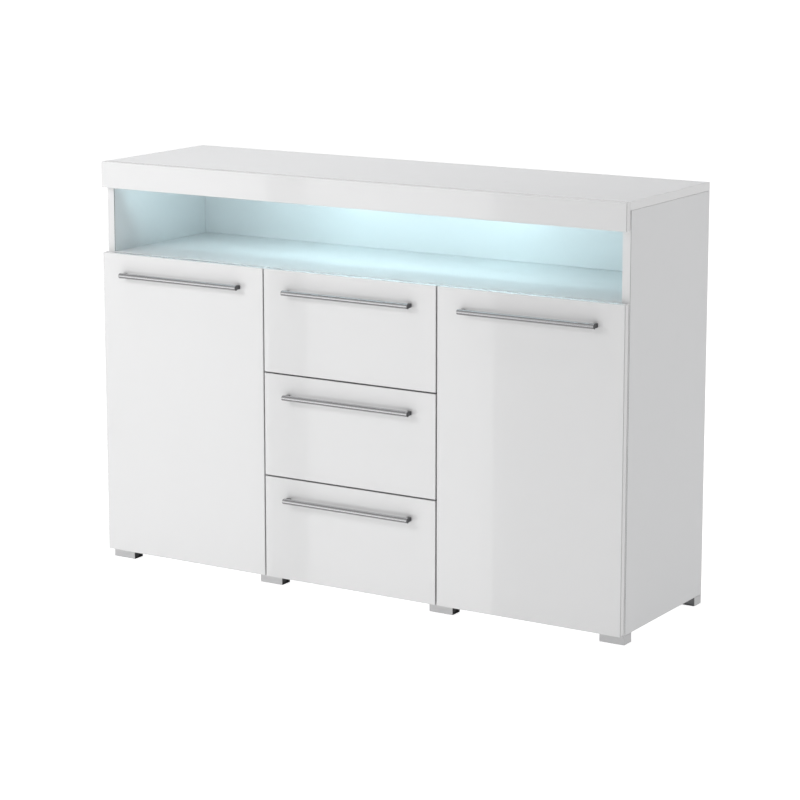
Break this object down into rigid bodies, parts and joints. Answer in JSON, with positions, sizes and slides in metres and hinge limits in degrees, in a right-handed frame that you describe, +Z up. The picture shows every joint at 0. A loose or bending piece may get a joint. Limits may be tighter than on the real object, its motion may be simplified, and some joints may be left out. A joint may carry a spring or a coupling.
{
  "type": "sideboard buffet",
  "caption": "Low white sideboard with gloss fronts, two hinged cupboards, a central stack of drawers, bar handles, short feet and an open lit niche under the top.",
  "frame": {"origin": "on the floor under the middle of the whole object's box, handles included", "axes": "+Z up; the fronts and handles face -Y; +X to the right of someone facing the fronts, along the width"},
  "size_m": [1.32, 0.4084, 0.92],
  "materials": {
    "white_laminate": "matt white laminate",
    "white_gloss": "high-gloss white",
    "satin_metal": "satin",
    "foot_silver": "silver satin",
    "zinc_steel": "bright zinc",
    "runner_white": "white epoxy coat",
    "drawer_foil": "matt white foil",
    "light_housing": "white ring with a cool white lens"
  },
  "bodies": {
    "carcass": {"top_panel": "white_laminate", "top_fascia": "white_gloss", "bottom_panel": "white_laminate", "niche_shelf": "white_laminate", "niche_back_panel": "white_laminate", "back_panel": "white_laminate", "left_side_panel": "white_laminate", "left_divider": "white_laminate", "left_shelf": "white_laminate", "left_niche_light": "light_housing", "right_side_panel": "white_laminate", "right_divider": "white_laminate", "right_shelf": "white_laminate", "right_niche_light": "light_housing", "front_left_foot": "foot_silver", "middle_left_foot": "foot_silver", "rear_left_foot": "foot_silver", "left_lower_hinge_arm": "zinc_steel", "left_upper_hinge_arm": "zinc_steel", "front_right_foot": "foot_silver", "middle_right_foot": "foot_silver", "rear_right_foot": "foot_silver", "right_lower_hinge_arm": "zinc_steel", "right_upper_hinge_arm": "zinc_steel", "bottom_drawer_left_rail": "runner_white", "bottom_drawer_right_rail": "runner_white", "middle_drawer_left_rail": "runner_white", "middle_drawer_right_rail": "runner_white", "top_drawer_left_rail": "runner_white", "top_drawer_right_rail": "runner_white"},
    "left_hinge_links": {"left_lower_hinge_link": "zinc_steel", "left_upper_hinge_link": "zinc_steel"},
    "left_door": {"left_door_panel": "white_gloss", "left_door_handle": "satin_metal", "left_lower_hinge_cup": "zinc_steel", "left_upper_hinge_cup": "zinc_steel"},
    "right_hinge_links": {"right_lower_hinge_link": "zinc_steel", "right_upper_hinge_link": "zinc_steel"},
    "right_door": {"right_door_panel": "white_gloss", "right_door_handle": "satin_metal", "right_lower_hinge_cup": "zinc_steel", "right_upper_hinge_cup": "zinc_steel"},
    "bottom_drawer": {"bottom_drawer_front": "white_gloss", "bottom_drawer_handle": "satin_metal", "bottom_drawer_box": "drawer_foil", "bottom_drawer_base": "drawer_foil", "bottom_drawer_left_runner": "runner_white", "bottom_drawer_right_runner": "runner_white"},
    "middle_drawer": {"middle_drawer_front": "white_gloss", "middle_drawer_handle": "satin_metal", "middle_drawer_box": "drawer_foil", "middle_drawer_base": "drawer_foil", "middle_drawer_left_runner": "runner_white", "middle_drawer_right_runner": "runner_white"},
    "top_drawer": {"top_drawer_front": "white_gloss", "top_drawer_handle": "satin_metal", "top_drawer_box": "drawer_foil", "top_drawer_base": "drawer_foil", "top_drawer_left_runner": "runner_white", "top_drawer_right_runner": "runner_white"}
  },
  "joints": [
    {"name": "left_door_hinge", "type": "hinge", "parent": "carcass", "child": "left_door", "pos_m": [-0.653, -0.17525, 0.0228], "axis": [0, 0, -1], "range_deg": [0, 105]},
    {"name": "left_hinge_link_pivot", "type": "hinge", "parent": "carcass", "child": "left_hinge_links", "pos_m": [-0.629, -0.17025, 0.0228], "axis": [0, 0, 1], "range_deg": [0, 39.35]},
    {"name": "right_door_hinge", "type": "hinge", "parent": "carcass", "child": "right_door", "pos_m": [0.653, -0.17525, 0.0228], "axis": [0, 0, 1], "range_deg": [0, 105]},
    {"name": "right_hinge_link_pivot", "type": "hinge", "parent": "carcass", "child": "right_hinge_links", "pos_m": [0.629, -0.17025, 0.0228], "axis": [0, 0, -1], "range_deg": [0, 39.35]},
    {"name": "bottom_drawer_slide", "type": "slide", "parent": "carcass", "child": "bottom_drawer", "axis": [0, -1, 0], "range_m": [0, 0.26]},
    {"name": "middle_drawer_slide", "type": "slide", "parent": "carcass", "child": "middle_drawer", "axis": [0, -1, 0], "range_m": [0, 0.26]},
    {"name": "top_drawer_slide", "type": "slide", "parent": "carcass", "child": "top_drawer", "axis": [0, -1, 0], "range_m": [0, 0.26]}
  ],
  "couplings": [
    {"joint": "left_hinge_link_pivot", "follows": "left_door_hinge", "ratio": 0.37},
    {"joint": "right_hinge_link_pivot", "follows": "right_door_hinge", "ratio": 0.37}
  ]
}
